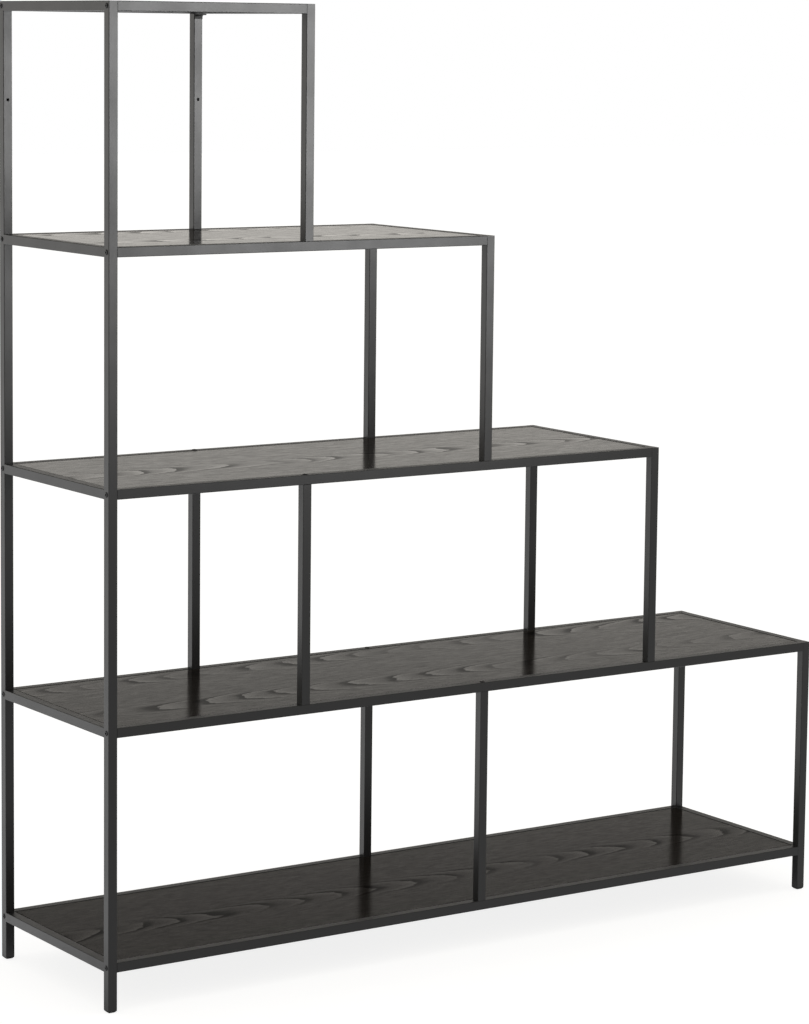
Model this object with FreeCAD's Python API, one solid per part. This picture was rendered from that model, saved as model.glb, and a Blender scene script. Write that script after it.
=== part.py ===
import FreeCAD, Part
import math
import os
from collections import namedtuple

from FreeCAD import Vector

# Stepped open bookcase: a bolted frame of square steel tube with boards laid into its decks.
# Millimetres, Z up, front towards -Y. The origin is on the floor under the middle of the frame.
# Decks and rows are counted from the top, column lines from the left.

# Overall size, over the tubes
WIDTH = 1360.0
DEPTH = 350.0
HEIGHT = 1500.0
FLOOR_CLEARANCE = 61.0

# How many columns each deck spans, and the column line of the divider in each row that has one
DECK_COLUMNS = (1, 2, 3, 4, 4)
DIVIDER_COLUMN = {3: 1, 4: 2}

# Square tube of the posts and rails, and the plate that closes a post's top
TUBE = 15.0
TUBE_WALL = 1.2
TUBE_CORNER = 1.0
POST_LID = 1.5

# Boards, and the plates inside the rails that they lie on
BOARD_THICKNESS = 10.0
BOARD_GAP = 1.5
BOARD_RECESS = 0.5
BOARD_EASED_EDGE = 0.5
REST_LENGTH = 30.0
REST_REACH = 16.0
REST_THICKNESS = 2.0
REST_FROM_POST = 40.0

# Frame bolts with a low head and a hexagon socket, measured across its flats.
# Shanks, heads and their holes are plain prisms, to keep the many copies light.
SHANK_SIDES = 8
HEAD_SIDES = 12
BOLT = 5.0
BOLT_HEAD = 8.0
BOLT_HEAD_HEIGHT = 1.0
BOLT_SOCKET = 3.0
BOLT_SOCKET_DEPTH = 2.4
BOLT_CLEARANCE = 0.15
BOLT_END_GAP = 1.5

# Plugs in the tube ends: threaded for the bolts, or with a tongue for the slot in the rail below
PLUG_LENGTH = 14.0
PLUG_CLEARANCE = 0.1
TONGUE_LENGTH = 8.0
TONGUE_WIDTH = 4.0
TONGUE_DEPTH = 5.0
TONGUE_CLEARANCE = 0.2

# Floor glides
GLIDE_HEIGHT = 4.0
GLIDE_CHAMFER = 2.5
GLIDE_INSET = 0.4
GLIDE_STEM = 14.0

# Wall fixing through the two back posts of the top row
WALL_HOLE = 5.0
WALL_HOLE_DROP = 150.0

# Angle bracket under the top deck at its back right corner, and its screw
BRACKET_WIDTH = 13.0
BRACKET_LEG = 14.0
BRACKET_DROP = 8.0
BRACKET_THICKNESS = 2.0
SCREW = 3.5
SCREW_HEAD = 7.0
SCREW_HEAD_HEIGHT = 2.2
SCREW_POINT = 3.0
SCREW_CLEARANCE = 0.15

# What follows from the sizes above
X_AXIS = Vector(1, 0, 0)
Y_AXIS = Vector(0, 1, 0)
Z_AXIS = Vector(0, 0, 1)
DECKS = range(1, len(DECK_COLUMNS) + 1)
ROWS = len(DECK_COLUMNS) - 1
COLUMN_PITCH = (WIDTH - TUBE) / max(DECK_COLUMNS)
DECK_PITCH = (HEIGHT - TUBE - FLOOR_CLEARANCE) / ROWS
SIDE_Y = {"front": -(DEPTH - TUBE) / 2, "back": (DEPTH - TUBE) / 2}
INWARD = {"front": 1, "back": -1}
TUBE_BORE = TUBE - 2 * TUBE_WALL
PLUG_WIDTH = TUBE_BORE - 2 * PLUG_CLEARANCE

# A post or divider: its column line, the deck that it stands on (0 for the floor), and its two ends
Upright = namedtuple("Upright", "name column below bottom top is_divider")


def column_x(column):
    """Middle of the tubes on a column line."""
    return (TUBE - WIDTH) / 2 + column * COLUMN_PITCH


def deck_top(deck):
    return HEIGHT - (deck - 1) * DECK_PITCH


def deck_middle(deck):
    return deck_top(deck) - TUBE / 2


def deck_underside(deck):
    return deck_top(deck) - TUBE


def uprights():
    yield Upright("left_post", 0, 0, GLIDE_HEIGHT, deck_top(1), False)
    for row in range(1, ROWS + 1):
        below = row + 1 if row < ROWS else 0
        bottom = deck_top(below) if below else GLIDE_HEIGHT
        yield Upright(f"row_{row}_post", DECK_COLUMNS[row - 1], below, bottom, deck_top(row), False)
    for row, column in DIVIDER_COLUMN.items():
        yield Upright(f"row_{row}_divider", column, row + 1, deck_top(row + 1), deck_underside(row), True)


def turned(shape, direction, start):
    """Turns a shape made along +Z from the origin to a direction, and moves it to its start."""
    placed = shape.copy()
    placed.Placement = FreeCAD.Placement(start, FreeCAD.Rotation(Z_AXIS, direction))
    return placed


def copies(shape, direction, starts):
    return Part.makeCompound([turned(shape, direction, start) for start in starts])


def rounded_square(side, corner):
    """A square face with round corners, centred on the origin."""
    reach = side / 2
    flat = reach - corner
    bow = flat + corner * math.sqrt(0.5)
    quarter = [Vector(reach, -flat), Vector(reach, flat), Vector(bow, bow), Vector(flat, reach)]
    edges = []
    for turn in range(4):
        spin = FreeCAD.Rotation(Z_AXIS, 90 * turn)
        low, high, middle, end = [spin.multVec(point) for point in quarter]
        edges.append(Part.LineSegment(low, high).toShape())
        edges.append(Part.Arc(high, middle, end).toShape())
    return Part.Face(Part.Wire(edges))


def rounded_bar(length):
    return rounded_square(TUBE, TUBE_CORNER).extrude(Z_AXIS * length)


def square_bar(side, length):
    return Part.makeBox(side, side, length, Vector(-side / 2, -side / 2, 0))


def open_tube(length):
    return rounded_bar(length).cut(square_bar(TUBE_BORE, length))


def closed_tube(length):
    """A tube whose top is closed by a plate welded in and ground flush."""
    return rounded_bar(length).cut(square_bar(TUBE_BORE, length - POST_LID))


def prism(sides, radius, length):
    """A regular prism along +Z from the origin, by the radius of its corners."""
    turns = [2 * math.pi * k / sides for k in range(sides)]
    corners = [Vector(radius * math.cos(turn), radius * math.sin(turn), 0) for turn in turns]
    return Part.Face(Part.makePolygon([*corners, corners[0]])).extrude(Z_AXIS * length)


def bolt_hole(length):
    return prism(SHANK_SIDES, BOLT / 2 + BOLT_CLEARANCE, length)


def screw_hole(length):
    return prism(SHANK_SIDES, SCREW / 2 + SCREW_CLEARANCE, length)


def across_tube(hole, direction, middle):
    """Puts a hole as long as a tube is wide through both walls of the tube."""
    return turned(hole, direction, middle - direction * (TUBE / 2))


def upright_tube(upright, side):
    """A post, closed on top and drilled for the rails that end on it and for the wall, or an open divider."""
    middle = Vector(column_x(upright.column), SIDE_Y[side], 0)
    length = upright.top - upright.bottom
    blank = open_tube(length) if upright.is_divider else closed_tube(length)
    body = turned(blank, Z_AXIS, middle + Z_AXIS * upright.bottom)
    for deck in DECKS:
        height = deck_middle(deck)
        if upright.column in (0, DECK_COLUMNS[deck - 1]) and upright.bottom < height < upright.top:
            body = body.cut(across_tube(bolt_hole(TUBE), X_AXIS, middle + Z_AXIS * height))
    wall_height = HEIGHT - WALL_HOLE_DROP
    if side == "back" and upright.column <= DECK_COLUMNS[0] and upright.bottom < wall_height < upright.top:
        wall_hole = Part.makeCylinder(WALL_HOLE / 2, TUBE)
        body = body.cut(across_tube(wall_hole, Y_AXIS, middle + Z_AXIS * wall_height))
    return body


def long_rail(deck, side):
    """A front or back rail, slotted for the uprights on top of it and drilled for the dividers under it."""
    start = Vector(column_x(0) + TUBE / 2, SIDE_Y[side], deck_middle(deck))
    body = turned(open_tube(DECK_COLUMNS[deck - 1] * COLUMN_PITCH - TUBE), X_AXIS, start)
    slot_length = TONGUE_LENGTH + 2 * TONGUE_CLEARANCE
    slot_width = TONGUE_WIDTH + 2 * TONGUE_CLEARANCE
    slot_corner = Vector(-slot_length / 2, -slot_width / 2, deck_top(deck) - TUBE_WALL)
    for upright in uprights():
        middle = Vector(column_x(upright.column), SIDE_Y[side], 0)
        if upright.below == deck:
            body = body.cut(Part.makeBox(slot_length, slot_width, TUBE_WALL, middle + slot_corner))
        if upright.is_divider and upright.below == deck + 1:
            body = body.cut(across_tube(bolt_hole(TUBE), Z_AXIS, middle + Z_AXIS * deck_middle(deck)))
    return body


def side_rail(deck, column):
    """A left or right rail, its ends shaped to the round corners of the posts that it is welded to."""
    start = Vector(column_x(column), SIDE_Y["front"] + TUBE / 2 - TUBE_CORNER, deck_middle(deck))
    body = turned(open_tube(DEPTH - 2 * (TUBE - TUBE_CORNER)), Y_AXIS, start)
    for y in SIDE_Y.values():
        post = Vector(column_x(column), y, deck_underside(deck))
        body = body.cut(turned(rounded_bar(TUBE), Z_AXIS, post))
    if deck == 1 and column:
        body = body.cut(turned(screw_hole(TUBE_WALL), Z_AXIS, screw_place()))
    return body


def board(deck):
    """A board with eased top edges, clear of the rails all round."""
    length = DECK_COLUMNS[deck - 1] * COLUMN_PITCH - TUBE - 2 * BOARD_GAP
    width = DEPTH - 2 * TUBE - 2 * BOARD_GAP
    top = deck_top(deck) - BOARD_RECESS
    corner = Vector(column_x(0) + TUBE / 2 + BOARD_GAP, -width / 2, top - BOARD_THICKNESS)
    blank = Part.makeBox(length, width, BOARD_THICKNESS, corner)
    top_edges = [edge for edge in blank.Edges if edge.BoundBox.ZMin > top - BOARD_THICKNESS / 2]
    return blank.makeChamfer(BOARD_EASED_EDGE, top_edges)


def board_rests(deck):
    """Plates welded to both long rails: near the ends, and on every column line between."""
    columns = DECK_COLUMNS[deck - 1]
    inset = TUBE / 2 + REST_FROM_POST
    places = [column_x(0) + inset, *map(column_x, range(1, columns)), column_x(columns) - inset]
    underside = deck_top(deck) - BOARD_RECESS - BOARD_THICKNESS - REST_THICKNESS
    plates = []
    for side, y in SIDE_Y.items():
        middle_y = y + INWARD[side] * (TUBE + REST_REACH) / 2
        for x in places:
            corner = Vector(x - REST_LENGTH / 2, middle_y - REST_REACH / 2, underside)
            plates.append(Part.makeBox(REST_LENGTH, REST_REACH, REST_THICKNESS, corner))
    return Part.makeCompound(plates)


def headed(shank, shank_length, head, head_height):
    """A fastener along +Z with the underside of its head at the origin."""
    top = turned(prism(HEAD_SIDES, head / 2, head_height), Z_AXIS, Z_AXIS * -head_height)
    return top.fuse(prism(SHANK_SIDES, shank / 2, shank_length))


def frame_bolt():
    """A bolt that goes through a tube and most of the plug behind it."""
    body = headed(BOLT, TUBE + PLUG_LENGTH - BOLT_END_GAP, BOLT_HEAD, BOLT_HEAD_HEIGHT)
    socket = prism(6, BOLT_SOCKET / math.sqrt(3), BOLT_SOCKET_DEPTH)
    return body.cut(turned(socket, Z_AXIS, Z_AXIS * -BOLT_HEAD_HEIGHT))


def threaded_plug():
    """A block for the end of a tube, from the origin along +Z, with the bolt's hole through it."""
    return square_bar(PLUG_WIDTH, PLUG_LENGTH).cut(bolt_hole(PLUG_LENGTH))


def tongue_plug():
    """A block for the lower end of a stacked upright, with a tongue that goes down through a rail's slot."""
    corner = Vector(-TONGUE_LENGTH / 2, -TONGUE_WIDTH / 2, -TONGUE_DEPTH)
    tongue = Part.makeBox(TONGUE_LENGTH, TONGUE_WIDTH, TONGUE_DEPTH, corner)
    return square_bar(PLUG_WIDTH, PLUG_LENGTH).fuse(tongue)


def floor_glide():
    """A moulded glide: a foot chamfered towards the floor, and a stem inside the post."""
    foot = square_bar(TUBE - 2 * GLIDE_INSET, GLIDE_HEIGHT)
    bottom_edges = [edge for edge in foot.Edges if edge.BoundBox.ZMax < GLIDE_HEIGHT / 2]
    stem = turned(square_bar(PLUG_WIDTH, GLIDE_STEM), Z_AXIS, Z_AXIS * GLIDE_HEIGHT)
    return foot.makeChamfer(GLIDE_CHAMFER, bottom_edges).fuse(stem)


def bracket_corner():
    """Where the bracket's two legs meet: on the post's inner face, at the underside of the right rail."""
    return Vector(column_x(DECK_COLUMNS[0]), SIDE_Y["back"] - TUBE / 2, deck_underside(1))


def screw_place():
    """The bracket's screw, where it enters the right rail of the top deck."""
    return bracket_corner() - Y_AXIS * ((BRACKET_LEG + BRACKET_THICKNESS) / 2)


def corner_bracket():
    thick = BRACKET_THICKNESS
    leg_along_rail = [(0, 0), (-BRACKET_LEG, 0), (-BRACKET_LEG, -thick), (-thick, -thick)]
    leg_down_post = [(-thick, -BRACKET_DROP), (0, -BRACKET_DROP), (0, 0)]
    outline = leg_along_rail + leg_down_post
    start = bracket_corner() - X_AXIS * (BRACKET_WIDTH / 2)
    profile = Part.Face(Part.makePolygon([start + Vector(0, y, z) for y, z in outline]))
    hole = turned(screw_hole(thick), Z_AXIS, screw_place() - Z_AXIS * thick)
    return profile.extrude(X_AXIS * BRACKET_WIDTH).cut(hole)


def bracket_screw():
    body = headed(SCREW, BRACKET_THICKNESS + TUBE_WALL + SCREW_POINT, SCREW_HEAD, SCREW_HEAD_HEIGHT)
    return turned(body, Z_AXIS, screw_place() - Z_AXIS * BRACKET_THICKNESS)


def tube_middles(column, height):
    """The front and the back tube on a column line, at a height."""
    return [Vector(column_x(column), y, height) for y in SIDE_Y.values()]


def frame():
    nodes = {}
    for upright in uprights():
        for side in SIDE_Y:
            nodes[f"{upright.name}_{side}"] = upright_tube(upright, side)
    for deck in DECKS:
        for side in SIDE_Y:
            nodes[f"deck_{deck}_{side}_rail"] = long_rail(deck, side)
        nodes[f"deck_{deck}_left_rail"] = side_rail(deck, 0)
        nodes[f"deck_{deck}_right_rail"] = side_rail(deck, DECK_COLUMNS[deck - 1])
        nodes[f"deck_{deck}_board"] = board(deck)
        nodes[f"deck_{deck}_board_rests"] = board_rests(deck)
    nodes["corner_bracket"] = corner_bracket()
    return nodes


def fittings():
    nodes = {}
    left_ends = [spot for deck in DECKS for spot in tube_middles(0, deck_middle(deck))]
    right_ends = [spot for deck in DECKS for spot in tube_middles(DECK_COLUMNS[deck - 1], deck_middle(deck))]
    for end, inward, spots in (("left", X_AXIS, left_ends), ("right", -X_AXIS, right_ends)):
        half_tube = inward * (TUBE / 2)
        nodes[f"{end}_frame_bolts"] = copies(frame_bolt(), inward, [spot - half_tube for spot in spots])
        nodes[f"{end}_rail_plugs"] = copies(threaded_plug(), inward, [spot + half_tube for spot in spots])

    divider_tops = [spot for u in uprights() if u.is_divider for spot in tube_middles(u.column, u.top)]
    stacked_ends = [spot for u in uprights() if u.below for spot in tube_middles(u.column, u.bottom)]
    floor_spots = [spot for u in uprights() if not u.below for spot in tube_middles(u.column, 0)]
    nodes["divider_bolts"] = copies(frame_bolt(), -Z_AXIS, [spot + Z_AXIS * TUBE for spot in divider_tops])
    nodes["divider_plugs"] = copies(threaded_plug(), -Z_AXIS, divider_tops)
    nodes["tongue_plugs"] = copies(tongue_plug(), Z_AXIS, stacked_ends)
    nodes["floor_glides"] = copies(floor_glide(), Z_AXIS, floor_spots)
    nodes["bracket_screw"] = bracket_screw()
    return nodes


os.makedirs("parts", exist_ok=True)
for node, shape in {**frame(), **fittings()}.items():
    shape.exportStep(f"parts/{node}.step")
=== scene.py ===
import math

import bpy
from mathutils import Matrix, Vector


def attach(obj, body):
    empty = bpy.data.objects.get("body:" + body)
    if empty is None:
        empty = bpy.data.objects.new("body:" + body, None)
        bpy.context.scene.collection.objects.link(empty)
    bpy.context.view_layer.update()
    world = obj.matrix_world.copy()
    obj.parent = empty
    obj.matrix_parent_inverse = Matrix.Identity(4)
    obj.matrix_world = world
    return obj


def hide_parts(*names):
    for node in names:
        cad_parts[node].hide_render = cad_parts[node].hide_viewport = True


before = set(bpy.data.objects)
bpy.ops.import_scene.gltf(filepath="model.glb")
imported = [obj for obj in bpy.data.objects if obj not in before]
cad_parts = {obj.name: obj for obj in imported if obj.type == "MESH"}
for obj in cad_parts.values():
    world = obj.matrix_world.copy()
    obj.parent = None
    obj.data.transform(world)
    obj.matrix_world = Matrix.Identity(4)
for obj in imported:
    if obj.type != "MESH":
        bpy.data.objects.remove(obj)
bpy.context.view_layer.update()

# Stepped open bookcase. Metres, Z up, front towards -Y, decks counted from the top.
MM = 0.001

# Where the frame bolts sit: the middles of the long rails, the outer faces of the posts at their
# ends, and the rail tops over the dividers, as x and z by row
RAIL_Y = {"front": -167.5 * MM, "back": 167.5 * MM}
RAIL_Z = [1492.5 * MM, 1136.5 * MM, 780.5 * MM, 424.5 * MM, 68.5 * MM]
LEFT_FACE_X = -680 * MM
RIGHT_FACE_X = [-328.75 * MM, 7.5 * MM, 343.75 * MM, 680 * MM, 680 * MM]
DIVIDER_TOPS = {3: (-336.25 * MM, 788 * MM), 4: (0.0, 432 * MM)}

# Frame bolt: a low round head with a hexagon socket
BOLT_HEAD = 8 * MM
BOLT_HEAD_HEIGHT = 1 * MM
BOLT_RIM = 0.5 * MM
BOLT_SHANK = 5 * MM
BOLT_LENGTH = 27.5 * MM
BOLT_SOCKET = 3 * MM
BOLT_SOCKET_DEPTH = 2.4 * MM

# Bracket screw: a pan head with a cross recess
SCREW_HEAD = 7 * MM
SCREW_HEAD_HEIGHT = 2.2 * MM
SCREW_RIM = 1.2 * MM
SCREW_SHANK = 3.5 * MM
SCREW_LENGTH = 6.2 * MM
SCREW_RECESS = 3.6 * MM
SCREW_RECESS_WIDTH = 0.9 * MM
SCREW_RECESS_DEPTH = 1.3 * MM
SCREW_SEAT = (-336.25 * MM, 152 * MM, 1483 * MM)

# Both heads: the facets round them, the steps over their rounded rims, and the angle up to which
# neighbouring faces are shaded as one
HEAD_FACETS = 32
RIM_STEPS = 4
SMOOTH_ANGLE = math.radians(35)

# The camera, fitted to the photograph. Turns in degrees, lens and sensor in millimetres.
CAMERA_PLACE = (-2.92976, -4.29601, 1.45334)
CAMERA_TURNS = (83.57593, -0.61703, -33.83394)
CAMERA_SENSOR = 36.0
CAMERA_LENS = 113.4132
CAMERA_SHIFT = -0.11


# ---------------------------------------------------------------- materials

# Most of a noise's values lie between these two, so a finish spreads its range over them
NOISE_LOW, NOISE_HIGH = 0.3, 0.7


def linear(hex_code):
    """A colour written as sRGB hex, as the linear values that a shader takes."""
    channels = [int(hex_code[i:i + 2], 16) / 255 for i in (1, 3, 5)]
    return [c / 12.92 if c <= 0.04045 else ((c + 0.055) / 1.055) ** 2.4 for c in channels] + [1.0]


def add_node(tree, kind, inputs, **settings):
    """Adds a node with its settings. Each input is a value, or another node's output to link."""
    node = tree.nodes.new(kind)
    for name, value in settings.items():
        setattr(node, name, value)
    for socket, value in inputs.items():
        if isinstance(value, bpy.types.NodeSocket):
            tree.links.new(value, node.inputs[socket])
        else:
            node.inputs[socket].default_value = value
    return node


def new_material(name):
    """An empty material: its node tree, and the object coordinates in metres."""
    material = bpy.data.materials.new(name)
    material.use_nodes = True
    tree = material.node_tree
    tree.nodes.clear()
    place = add_node(tree, "ShaderNodeTexCoord", {}).outputs["Object"]
    return material, tree, place


def show(tree, shader):
    """Makes a shader what the material's surface shows."""
    add_node(tree, "ShaderNodeOutputMaterial", {"Surface": shader.outputs[0]})


def powder_coated_steel(name, dark_hex, light_hex, shine, dull):
    """Steel with a black polyester powder coat, sprayed and baked. It levels to a film with a
    slight orange peel, so a lamp shows as a soft glow and the black stays deep. shine and dull
    are the roughness of its glossier and duller patches."""
    peel_crests = 1.2 * MM  # the orange peel, from crest to crest
    peel_height = 0.02 * MM
    film_patch = 60 * MM  # the film is a little thicker and glossier in patches of this size
    material, tree, place = new_material(name)
    peel = add_node(tree, "ShaderNodeTexNoise", {
        "Vector": place, "Scale": 1 / peel_crests, "Detail": 2.0})
    film = add_node(tree, "ShaderNodeTexNoise", {
        "Vector": place, "Scale": 1 / film_patch, "Detail": 3.0})
    tone = add_node(tree, "ShaderNodeValToRGB", {"Fac": film.outputs["Fac"]})
    dark, light = tone.color_ramp.elements
    dark.position, dark.color = NOISE_LOW, linear(dark_hex)
    light.position, light.color = NOISE_HIGH, linear(light_hex)
    gloss = add_node(tree, "ShaderNodeMapRange", {
        "Value": film.outputs["Fac"], "From Min": NOISE_LOW, "From Max": NOISE_HIGH,
        "To Min": shine, "To Max": dull})
    bump = add_node(tree, "ShaderNodeBump", {
        "Height": peel.outputs["Fac"], "Strength": 0.08, "Distance": peel_height})
    show(tree, add_node(tree, "ShaderNodeBsdfPrincipled", {
        "Base Color": tone.outputs["Color"], "Roughness": gloss.outputs["Result"],
        "Normal": bump.outputs["Normal"], "IOR": 1.5}))
    return material


def stained_ash(name, tips, bands, cut):
    """Ash veneer stained black and sealed with a thin satin lacquer. The stain sinks into the
    coarse early wood, so each ring starts with a dark band and pales towards the next. Sawn flat,
    the rings show as nested arches with round tips along the board, and the rest is fine straight
    grain with open pores. tips is 1 where the arches point right and -1 where they point left,
    bands are the lines in y that they follow, and cut picks the stretch of the log."""
    material, tree, place = new_material(name)
    along = add_node(tree, "ShaderNodeSeparateXYZ", {"Vector": place}).outputs["X"]

    # Features by their length and width. Pores are 0.3 mm wide, drawn 1.6 mm wide to show, and
    # the fibre gathers in streaks that are drawn 3.2 mm wide, because the decks are seen at a
    # low angle.
    grain = {}
    for feature, length, width, detail in (
            ("sway", 170 * MM, 90 * MM, 1.0),
            ("fibre", 28 * MM, 3.2 * MM, 4.0),
            ("pores", 12 * MM, 1.6 * MM, 2.0)):
        stretched = add_node(tree, "ShaderNodeMapping", {
            "Vector": place, "Location": (cut, cut, cut),
            "Scale": (1 / length, 1 / width, 1 / width)})
        grain[feature] = add_node(tree, "ShaderNodeTexNoise", {
            "Vector": stretched.outputs["Vector"], "Scale": 1.0, "Detail": detail})
    sway = grain["sway"].outputs
    tone = add_node(tree, "ShaderNodeMapRange", {
        "Value": grain["fibre"].outputs["Fac"], "From Min": 0.25, "From Max": 0.75,
        "To Min": 0.27, "To Max": 0.79}).outputs["Result"]

    # Rings lie as nested arches, with their tips in line along a band. Their sides fall back with
    # the square of the distance from the band's middle, so the tips are round and the sides run
    # out along the grain.
    tip_gap = 72 * MM  # from one tip to the next, along the board
    bow = 28 * MM  # the spread of the arches: more makes them wider
    ring_gap = 26 * MM  # from ring to ring across the grain, half of bow away from the middle
    blunt = 12 * MM  # how far the tips are rounded off
    wander = 30 * MM  # how far sway moves a band sideways, half of it on average
    drift = 12.0  # how far sway moves the tips along the board, in radians of a ring
    fray_length = 16  # the frayed edges of a ring are drawn out this much along the grain
    band_reach = 38 * MM  # how far from the middle the arches end in straight grain
    band_fade = 0.35  # the share of that over which they fade
    # Places across one ring and their tones, from dark early wood to pale late wood
    early_wood, late_wood = (0.0, 0.03), (0.97, 0.9)
    between = ((0.17, 0.1), (0.32, 0.45), (0.62, 0.61))

    bent = add_node(tree, "ShaderNodeVectorMath", {
        0: sway["Color"], 1: (0.0, wander, 0.0), 2: place},
        operation="MULTIPLY_ADD").outputs["Vector"]
    across = add_node(tree, "ShaderNodeSeparateXYZ", {"Vector": bent}).outputs["Y"]
    run = add_node(tree, "ShaderNodeMath", {
        0: along, 1: tips * math.tau / tip_gap}, operation="MULTIPLY").outputs[0]
    phase = add_node(tree, "ShaderNodeMath", {
        0: sway["Fac"], 1: drift, 2: run}, operation="MULTIPLY_ADD").outputs[0]
    # The arches come and go along the board
    clear = add_node(tree, "ShaderNodeMapRange", {
        "Value": sway["Fac"], "From Min": 0.38, "From Max": 0.5,
        "To Min": 0.35, "To Max": 0.95}).outputs["Result"]
    # The wave texture counts a ring for each 2 pi of twenty times the distance that it is given
    wave_scale = math.tau / (20 * ring_gap)
    for band in bands:
        middle = band + wander / 2
        aside = add_node(tree, "ShaderNodeMath", {
            0: across, 1: middle}, operation="SUBTRACT").outputs[0]
        bowed = add_node(tree, "ShaderNodeMath", {
            0: aside, 1: aside}, operation="MULTIPLY").outputs[0]
        from_tip = add_node(tree, "ShaderNodeCombineXYZ", {"X": along, "Y": bowed})
        arch = add_node(tree, "ShaderNodeMapping", {
            "Vector": from_tip.outputs["Vector"], "Location": (cut, 0.0, blunt * wave_scale),
            "Scale": (wave_scale / fray_length, wave_scale / bow, 0.0)})
        rings = add_node(tree, "ShaderNodeTexWave", {
            "Vector": arch.outputs["Vector"], "Scale": 1.0, "Distortion": 1.0, "Detail": 2.0,
            "Detail Scale": 14.0, "Phase Offset": phase},
            wave_type="RINGS", rings_direction="X", wave_profile="SAW")
        shade = add_node(tree, "ShaderNodeValToRGB", {"Fac": rings.outputs["Fac"]})
        stops = shade.color_ramp.elements
        for stop, (position, grey) in zip(stops, (early_wood, late_wood)):
            stop.position, stop.color = position, (grey, grey, grey, 1)
        for position, grey in between:
            stops.new(position).color = (grey, grey, grey, 1)
        reach = add_node(tree, "ShaderNodeMapping", {
            "Vector": bent, "Location": (0.0, -middle / band_reach, 0.0),
            "Scale": (0.0, 1 / band_reach, 0.0)})
        near = add_node(tree, "ShaderNodeTexGradient", {
            "Vector": reach.outputs["Vector"]}, gradient_type="SPHERICAL")
        share = add_node(tree, "ShaderNodeMapRange", {
            "Value": near.outputs["Fac"], "From Max": band_fade}).outputs["Result"]
        share = add_node(tree, "ShaderNodeMath", {
            0: share, 1: clear}, operation="MULTIPLY").outputs[0]
        tone = add_node(tree, "ShaderNodeMix", {
            "Factor": share, "A": tone, "B": shade.outputs["Color"]}).outputs["Result"]

    # Open pores darken the wood by up to a half
    pits = add_node(tree, "ShaderNodeMapRange", {
        "Value": grain["pores"].outputs["Fac"], "From Min": 0.56, "From Max": 0.68,
        "To Min": 1.0, "To Max": 0.5})
    tone = add_node(tree, "ShaderNodeMath", {
        0: tone, 1: pits.outputs["Result"]}, operation="MULTIPLY").outputs[0]
    stain = add_node(tree, "ShaderNodeValToRGB", {"Fac": tone})
    open_wood, dense_wood = stain.color_ramp.elements
    open_wood.position, open_wood.color = 0.05, linear("#0b0a09")
    dense_wood.position, dense_wood.color = 0.9, linear("#28221c")
    # The lacquer lies full over dense wood and sinks away over dark, open wood
    lacquer = add_node(tree, "ShaderNodeMapRange", {
        "Value": tone, "From Min": 0.0, "From Max": 1.0, "To Min": 0.25, "To Max": 0.95})
    gloss = add_node(tree, "ShaderNodeMapRange", {
        "Value": tone, "From Min": 0.05, "From Max": 0.75, "To Min": 0.5, "To Max": 0.35})
    grain_depth = 0.05 * MM
    bump = add_node(tree, "ShaderNodeBump", {
        "Height": tone, "Strength": 0.1, "Distance": grain_depth})
    show(tree, add_node(tree, "ShaderNodeBsdfPrincipled", {
        "Base Color": stain.outputs["Color"], "Roughness": gloss.outputs["Result"],
        "Normal": bump.outputs["Normal"], "Specular IOR Level": 0.0,
        "Coat Weight": lacquer.outputs["Result"], "Coat Roughness": 0.16, "Coat IOR": 1.5}))
    return material


def black_zinc_steel():
    """Steel bolts, zinc plated and passivated black. The metal shows through as a faint glint
    on rims and flats, with a slightly cloudy film."""
    cloud_size = 2 * MM
    material, tree, place = new_material("black_passivated_zinc_steel")
    cloud = add_node(tree, "ShaderNodeTexNoise", {
        "Vector": place, "Scale": 1 / cloud_size, "Detail": 3.0})
    tone = add_node(tree, "ShaderNodeValToRGB", {"Fac": cloud.outputs["Fac"]})
    dark, light = tone.color_ramp.elements
    dark.position, dark.color = NOISE_LOW, linear("#232324")
    light.position, light.color = NOISE_HIGH, linear("#363637")
    gloss = add_node(tree, "ShaderNodeMapRange", {
        "Value": cloud.outputs["Fac"], "From Min": NOISE_LOW, "From Max": NOISE_HIGH,
        "To Min": 0.28, "To Max": 0.4})
    show(tree, add_node(tree, "ShaderNodeBsdfPrincipled", {
        "Base Color": tone.outputs["Color"], "Roughness": gloss.outputs["Result"],
        "Metallic": 1.0}))
    return material


def moulded_plastic(name, dark_hex, light_hex, grit):
    """Black injection-moulded plastic. The mould's spark-eroded skin leaves a fine even grit,
    so it is duller than the coated steel beside it. grit is drawn coarse enough to show."""
    grit_height = 0.06 * MM
    material, tree, place = new_material(name)
    skin = add_node(tree, "ShaderNodeTexNoise", {
        "Vector": place, "Scale": 1 / grit, "Detail": 2.0})
    tone = add_node(tree, "ShaderNodeValToRGB", {"Fac": skin.outputs["Fac"]})
    dark, light = tone.color_ramp.elements
    dark.position, dark.color = NOISE_LOW, linear(dark_hex)
    light.position, light.color = NOISE_HIGH, linear(light_hex)
    gloss = add_node(tree, "ShaderNodeMapRange", {
        "Value": skin.outputs["Fac"], "From Min": NOISE_LOW, "From Max": NOISE_HIGH,
        "To Min": 0.5, "To Max": 0.62})
    bump = add_node(tree, "ShaderNodeBump", {
        "Height": skin.outputs["Fac"], "Strength": 0.3, "Distance": grit_height})
    show(tree, add_node(tree, "ShaderNodeBsdfPrincipled", {
        "Base Color": tone.outputs["Color"], "Roughness": gloss.outputs["Result"],
        "Normal": bump.outputs["Normal"], "IOR": 1.49}))
    return material


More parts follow.
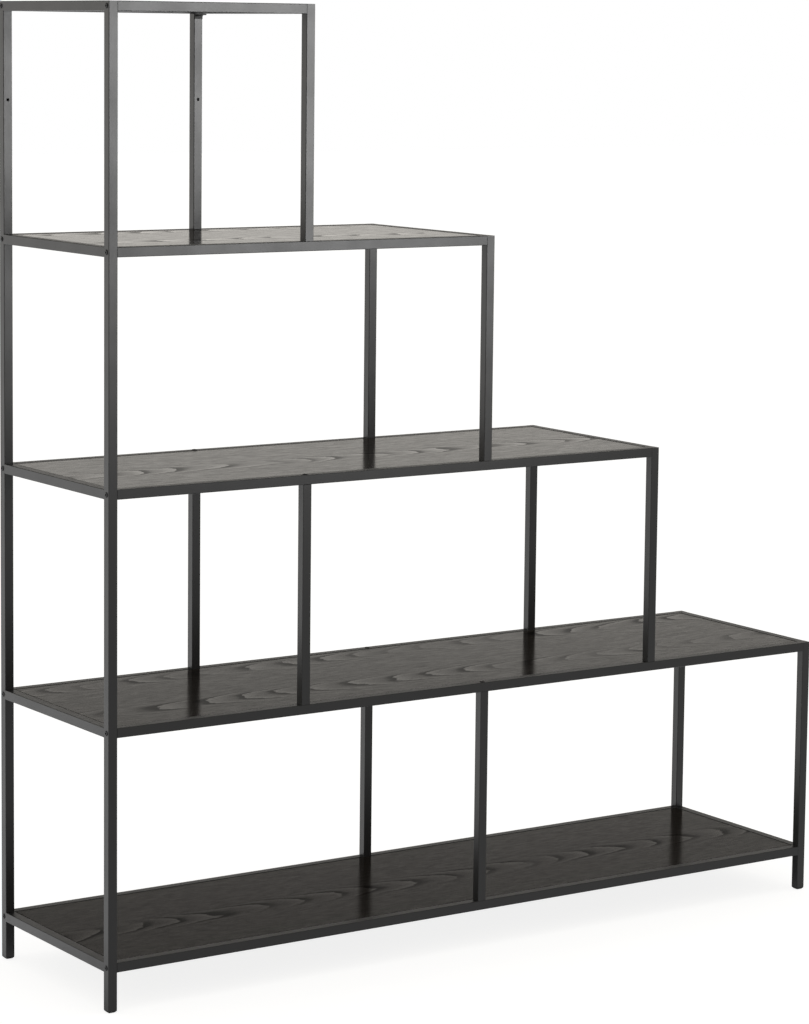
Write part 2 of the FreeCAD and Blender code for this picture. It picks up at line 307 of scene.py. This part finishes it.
steel = powder_coated_steel(
    "satin_black_powder_coated_steel", "#0e0e0f", "#141415", shine=0.35, dull=0.41)
# The bracket's steel is a darker copy of the frame's. Its darker black is painted shade for its
# place under the top deck, and its rougher film makes it duller.
matt_steel_painted_shade = powder_coated_steel(
    "darker_black_steel_painted_shade", "#060606", "#0a0a0a", shine=0.6, dull=0.7)
zinc = black_zinc_steel()
nylon = moulded_plastic("black_moulded_nylon", "#101011", "#19191a", grit=0.6 * MM)
glide_plastic = moulded_plastic(
    "black_moulded_polypropylene", "#0d0d0e", "#161617", grit=0.8 * MM)

# The boards with one band of arches have it near the middle, and their tips point right. The
# others have two, and their tips point left.
middle_band = [-18 * MM]
two_bands = [-75 * MM, 121 * MM]
right, left = 1, -1
boards = {
    "deck_1_board": stained_ash("black_stained_ash_1", right, middle_band, cut=3.1),
    "deck_2_board": stained_ash("black_stained_ash_2", left, two_bands, cut=7.7),
    "deck_3_board": stained_ash("black_stained_ash_3", right, middle_band, cut=12.3),
    "deck_4_board": stained_ash("black_stained_ash_4", left, two_bands, cut=19.6),
    "deck_5_board": stained_ash("black_stained_ash_5", right, middle_band, cut=27.2),
}

for name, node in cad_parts.items():
    if name in boards:
        finish = boards[name]
    elif name == "floor_glides":
        finish = glide_plastic
    elif name == "tongue_plugs":
        finish = nylon
    # The corner bracket gets the darker steel, whose black is painted shade.
    elif name == "corner_bracket":
        finish = matt_steel_painted_shade
    elif name.endswith(("bolts", "plugs", "screw")):
        finish = zinc
    else:
        finish = steel
    for slot in node.material_slots:
        slot.material = finish


# ---------------------------------------------------------------- bolts and screw

def pick(piece):
    """Selects one piece alone, so that operators act on nothing else."""
    bpy.ops.object.select_all(action="DESELECT")
    bpy.context.view_layer.objects.active = piece
    piece.select_set(True)


def in_edit_mode(piece, mode="FACE"):
    """Opens a piece for editing with nothing selected, and returns its mesh to select on."""
    pick(piece)
    bpy.ops.object.mode_set(mode="EDIT")
    bpy.ops.mesh.select_mode(type=mode)
    bpy.ops.mesh.select_all(action="DESELECT")
    bpy.ops.object.mode_set(mode="OBJECT")
    return piece.data


def cut_away(piece, cutter):
    """Cuts one piece out of another, and removes the cutter."""
    pick(piece)
    cut = piece.modifiers.new("cut", "BOOLEAN")
    cut.operation, cut.object, cut.solver = "DIFFERENCE", cutter, "EXACT"
    bpy.ops.object.modifier_apply(modifier=cut.name)
    bpy.data.objects.remove(cutter)


def turned_head(name, head, height, shank, length, rim):
    """A round head above the origin with a rounded rim, and its shank below."""
    bpy.ops.object.select_all(action="DESELECT")
    bpy.ops.mesh.primitive_cylinder_add(
        vertices=HEAD_FACETS, radius=head / 2, depth=height, location=(0, 0, height / 2))
    piece = bpy.context.active_object
    piece.name = piece.data.name = name
    bpy.ops.object.transform_apply(location=True, rotation=True, scale=True)

    # The shank grows from the face that looks down
    down = -0.9
    mesh = in_edit_mode(piece)
    for face in mesh.polygons:
        face.select = face.normal.z < down
    bpy.ops.object.mode_set(mode="EDIT")
    bpy.ops.mesh.inset(thickness=(head - shank) / 2)
    bpy.ops.mesh.extrude_region_move(TRANSFORM_OT_translate={"value": (0, 0, -length)})
    bpy.ops.object.mode_set(mode="OBJECT")

    # The rim is the round edge at the top
    near_top, near_rim = height * 0.9, head * 0.49
    mesh = in_edit_mode(piece, "EDGE")
    for edge in mesh.edges:
        ends = [mesh.vertices[i].co for i in edge.vertices]
        edge.select = all(end.z > near_top and end.xy.length > near_rim for end in ends)
    bpy.ops.object.mode_set(mode="EDIT")
    bpy.ops.mesh.bevel(offset=rim, segments=RIM_STEPS)
    bpy.ops.object.mode_set(mode="OBJECT")
    return piece


def smooth(piece):
    """Shades round faces as one, and keeps the edges crisp."""
    pick(piece)
    bpy.ops.object.shade_smooth_by_angle(angle=SMOOTH_ANGLE)


def hexagon_bolt():
    """A frame bolt, with the socket cut into its head."""
    bolt = turned_head(
        "frame_bolt", BOLT_HEAD, BOLT_HEAD_HEIGHT, BOLT_SHANK, BOLT_LENGTH, BOLT_RIM)
    bpy.ops.object.select_all(action="DESELECT")
    bpy.ops.mesh.primitive_cylinder_add(
        vertices=6, radius=BOLT_SOCKET / math.sqrt(3), depth=2 * BOLT_SOCKET_DEPTH,
        location=(0, 0, BOLT_HEAD_HEIGHT))
    cut_away(bolt, bpy.context.active_object)
    smooth(bolt)
    return bolt


def cross_screw():
    """The bracket's screw, with two slots cut across its head."""
    screw = turned_head(
        "pan_head_screw", SCREW_HEAD, SCREW_HEAD_HEIGHT, SCREW_SHANK, SCREW_LENGTH, SCREW_RIM)
    for turn in (0, 90):
        bpy.ops.object.select_all(action="DESELECT")
        bpy.ops.mesh.primitive_cube_add(
            size=1, scale=(SCREW_RECESS, SCREW_RECESS_WIDTH, 2 * SCREW_RECESS_DEPTH),
            location=(0, 0, SCREW_HEAD_HEIGHT), rotation=(0, 0, math.radians(turn)))
        cut_away(screw, bpy.context.active_object)
    smooth(screw)
    return screw


def fasten(pattern, name, seat, outward, node):
    """Puts a copy of a fastener with the underside of its head on seat, facing outward."""
    piece = pattern.copy()
    piece.data = pattern.data.copy()
    piece.name = piece.data.name = name
    bpy.context.collection.objects.link(piece)
    piece.rotation_mode = "QUATERNION"
    piece.rotation_quaternion = Vector(outward).to_track_quat("Z", "Y")
    piece.location = seat
    pick(piece)
    bpy.ops.object.transform_apply(location=True, rotation=True, scale=True)
    piece.data.materials.clear()
    piece.data.materials.append(zinc)
    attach(piece, "root")
    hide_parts(node)


bolt = hexagon_bolt()
for side, y in RAIL_Y.items():
    for deck, (z, right_x) in enumerate(zip(RAIL_Z, RIGHT_FACE_X), start=1):
        left_seat, right_seat = (LEFT_FACE_X, y, z), (right_x, y, z)
        fasten(bolt, f"left_bolt_{deck}_{side}", left_seat, (-1, 0, 0), "left_frame_bolts")
        fasten(bolt, f"right_bolt_{deck}_{side}", right_seat, (1, 0, 0), "right_frame_bolts")
    for row, (x, z) in DIVIDER_TOPS.items():
        fasten(bolt, f"divider_bolt_{row}_{side}", (x, y, z), (0, 0, 1), "divider_bolts")
bpy.data.objects.remove(bolt)

screw = cross_screw()
fasten(screw, "bracket_cross_screw", SCREW_SEAT, (0, 0, -1), "bracket_screw")
bpy.data.objects.remove(screw)


# ---------------------------------------------------------------- floor, light and camera

def pale_floor():
    """A white studio floor, seen as white but still taking the object's shadow. Reflections of it
    show painted light and painted shade.
    """
    floor_size = 60
    white_share = 0.6  # of what the camera sees. The rest is paint, which takes the shadow.
    white_level = 1.4
    painted_front_glow, painted_back_glow = 0.8, 1.4  # painted light: the floor's glow in reflections, in front and behind
    front_edge, back_edge = -0.3, 0.2  # where one turns into the other
    painted_shade_reach = 0.3  # painted shade: how far from the object the reflected floor is darkened
    bpy.ops.object.select_all(action="DESELECT")
    bpy.ops.mesh.primitive_plane_add(size=floor_size)
    floor = bpy.context.active_object
    floor.name = "studio_floor"
    material, tree, place = new_material("white_studio_floor")
    path = add_node(tree, "ShaderNodeLightPath", {}).outputs
    shiny = add_node(tree, "ShaderNodeMath", {
        0: path["Is Glossy Ray"], 1: path["Is Transmission Ray"]}, operation="MAXIMUM").outputs[0]
    share = add_node(tree, "ShaderNodeMath", {
        0: path["Is Camera Ray"], 1: white_share, 2: shiny}, operation="MULTIPLY_ADD").outputs[0]
    # Painted light: in reflections the floor glows bright behind the object, where lamps over the
    # backdrop would light it, and dimmer in front
    depth = add_node(tree, "ShaderNodeSeparateXYZ", {"Vector": place}).outputs["Y"]
    lit = add_node(tree, "ShaderNodeMapRange", {
        "Value": depth, "From Min": front_edge, "From Max": back_edge,
        "To Min": painted_front_glow, "To Max": painted_back_glow}).outputs["Result"]
    # Painted shade: ambient occlusion darkens the floor's reflected glow close to and under the
    # object
    painted_shade_ao = add_node(tree, "ShaderNodeAmbientOcclusion", {
        "Distance": painted_shade_reach}, samples=4).outputs["AO"]
    lit = add_node(tree, "ShaderNodeMath", {
        0: lit, 1: painted_shade_ao}, operation="MULTIPLY").outputs[0]
    lit = add_node(tree, "ShaderNodeMix", {
        "Factor": path["Is Camera Ray"], "A": lit, "B": white_level}).outputs["Result"]
    paint = add_node(tree, "ShaderNodeBsdfDiffuse", {"Color": linear("#f2f2f0")})
    white = add_node(tree, "ShaderNodeEmission", {"Color": linear("#ffffff"), "Strength": lit})
    show(tree, add_node(tree, "ShaderNodeMixShader", {
        0: share, 1: paint.outputs[0], 2: white.outputs[0]}))
    floor.data.materials.append(material)


def studio_world():
    """White behind the object. Reflections show the backdrop's glow low down at the back, a dim
    stretch above it, a lit ceiling, and a grey studio at the sides and front."""
    # Places are parts of a direction that is 1 long: how far it goes up, or to the back
    backdrop_top, backdrop_fall = 0.345, 1.4
    back_edge = 0.4  # beyond this a direction is wholly to the back
    front_glow, back_glow = 0.8, 1.75
    ceiling_start, ceiling_full = 0.4, 0.8
    dim_level, ceiling_level = 0.17, 1.0
    grey_level = 0.55
    soft_level = 0.6  # the light that falls on the object from all round
    white_level = 1.0  # what the camera sees
    world = bpy.data.worlds.new("studio")
    world.use_nodes = True
    tree = world.node_tree
    tree.nodes.clear()
    path = add_node(tree, "ShaderNodeLightPath", {}).outputs
    way = add_node(tree, "ShaderNodeTexCoord", {}).outputs["Generated"]
    _, back, up = add_node(tree, "ShaderNodeSeparateXYZ", {"Vector": way}).outputs
    glow = add_node(tree, "ShaderNodeMapRange", {
        "Value": up, "From Min": backdrop_top, "From Max": 0.0,
        "To Min": 0.0, "To Max": 1.0}).outputs["Result"]
    glow = add_node(tree, "ShaderNodeMath", {
        0: glow, 1: backdrop_fall}, operation="POWER").outputs[0]
    side = add_node(tree, "ShaderNodeMapRange", {
        "Value": back, "From Min": -back_edge, "From Max": back_edge,
        "To Min": front_glow, "To Max": back_glow}).outputs["Result"]
    glow = add_node(tree, "ShaderNodeMath", {0: glow, 1: side}, operation="MULTIPLY").outputs[0]
    ceiling = add_node(tree, "ShaderNodeMapRange", {
        "Value": up, "From Min": ceiling_start, "From Max": ceiling_full,
        "To Min": dim_level, "To Max": ceiling_level}).outputs["Result"]
    glow = add_node(tree, "ShaderNodeMath", {0: glow, 1: ceiling}, operation="MAXIMUM").outputs[0]
    front = add_node(tree, "ShaderNodeMapRange", {
        "Value": back, "From Min": back_edge, "From Max": 0.0,
        "To Min": 0.0, "To Max": grey_level}).outputs["Result"]
    glow = add_node(tree, "ShaderNodeMath", {0: glow, 1: front}, operation="MAXIMUM").outputs[0]
    shiny = add_node(tree, "ShaderNodeMath", {
        0: path["Is Glossy Ray"], 1: path["Is Transmission Ray"]}, operation="MAXIMUM").outputs[0]
    level = add_node(tree, "ShaderNodeMix", {
        "Factor": shiny, "A": soft_level, "B": glow}).outputs["Result"]
    level = add_node(tree, "ShaderNodeMix", {
        "Factor": path["Is Camera Ray"], "A": level, "B": white_level}).outputs["Result"]
    tint = add_node(tree, "ShaderNodeMix", {
        "Factor": path["Is Camera Ray"], "A": linear("#fffbf4"), "B": linear("#ffffff")},
        data_type="RGBA")
    sky = add_node(tree, "ShaderNodeBackground", {
        "Color": tint.outputs["Result"], "Strength": level})
    add_node(tree, "ShaderNodeOutputWorld", {"Surface": sky.outputs[0]})
    bpy.context.scene.world = world


def softbox(name, place, facing, width, height, radiance, core, core_rise, grid):
    """A soft lamp that shows in reflections but not to the camera. Radiance 1 would look white.
    It is full over a round core, that share of its width, and fades out towards its edges.
    The core's middle is at core_rise, a share of the lamp's height. A grid of that many degrees
    keeps its light off everything to the side."""
    lamp = bpy.data.lights.new(name, "AREA")
    lamp.shape, lamp.size, lamp.size_y = "RECTANGLE", width, height
    lamp.spread = math.radians(grid)
    # A narrow grid gathers the lamp's power into a brighter beam, so it gets that much less power
    half = lamp.spread / 2
    lamp.energy = radiance * math.pi * width * height * (1 - half / math.tan(half))
    lamp.use_nodes = True
    tree = lamp.node_tree
    tree.nodes.clear()
    # The place on the lamp's face, from the core's middle, in half widths
    spot = add_node(tree, "ShaderNodeNewGeometry", {}).outputs["Parametric"]
    spot = add_node(tree, "ShaderNodeMapping", {
        "Vector": spot, "Location": (-1.0, -core_rise * 2 * height / width, 0.0),
        "Scale": (2.0, 2 * height / width, 0.0)}).outputs["Vector"]
    inward = add_node(tree, "ShaderNodeTexGradient", {
        "Vector": spot}, gradient_type="SPHERICAL").outputs["Fac"]
    bright = add_node(tree, "ShaderNodeMapRange", {
        "Value": inward, "From Max": 1 - core}, interpolation_type="SMOOTHSTEP").outputs["Result"]
    glow = add_node(tree, "ShaderNodeEmission", {"Strength": bright})
    add_node(tree, "ShaderNodeOutputLight", {"Surface": glow.outputs[0]})
    box = bpy.data.objects.new(name, lamp)
    bpy.context.collection.objects.link(box)
    box.location = place
    box.rotation_euler = Vector(facing).to_track_quat("-Z", "Y").to_euler()
    box.visible_camera = False


pale_floor()
studio_world()
softbox("key_softbox", place=(0.52, -1.49, 1.15), facing=(-0.53, 0.84, 0.10),
        width=2.5, height=1.6, radiance=21.3, core=0.2, core_rise=0.85, grid=40)
softbox("top_softbox", place=(0, -0.5, 4.0), facing=(0, 0.12, -1),
        width=3.0, height=3.0, radiance=0.8, core=0.8, core_rise=0.5, grid=170)

camera = bpy.data.objects.new("camera", bpy.data.cameras.new("camera"))
bpy.context.collection.objects.link(camera)
camera.location = CAMERA_PLACE
camera.rotation_euler = [math.radians(turn) for turn in CAMERA_TURNS]
camera.data.sensor_width = CAMERA_SENSOR
camera.data.lens = CAMERA_LENS
camera.data.shift_y = CAMERA_SHIFT
bpy.context.scene.camera = camera
bpy.context.scene.view_settings.view_transform = "Standard"
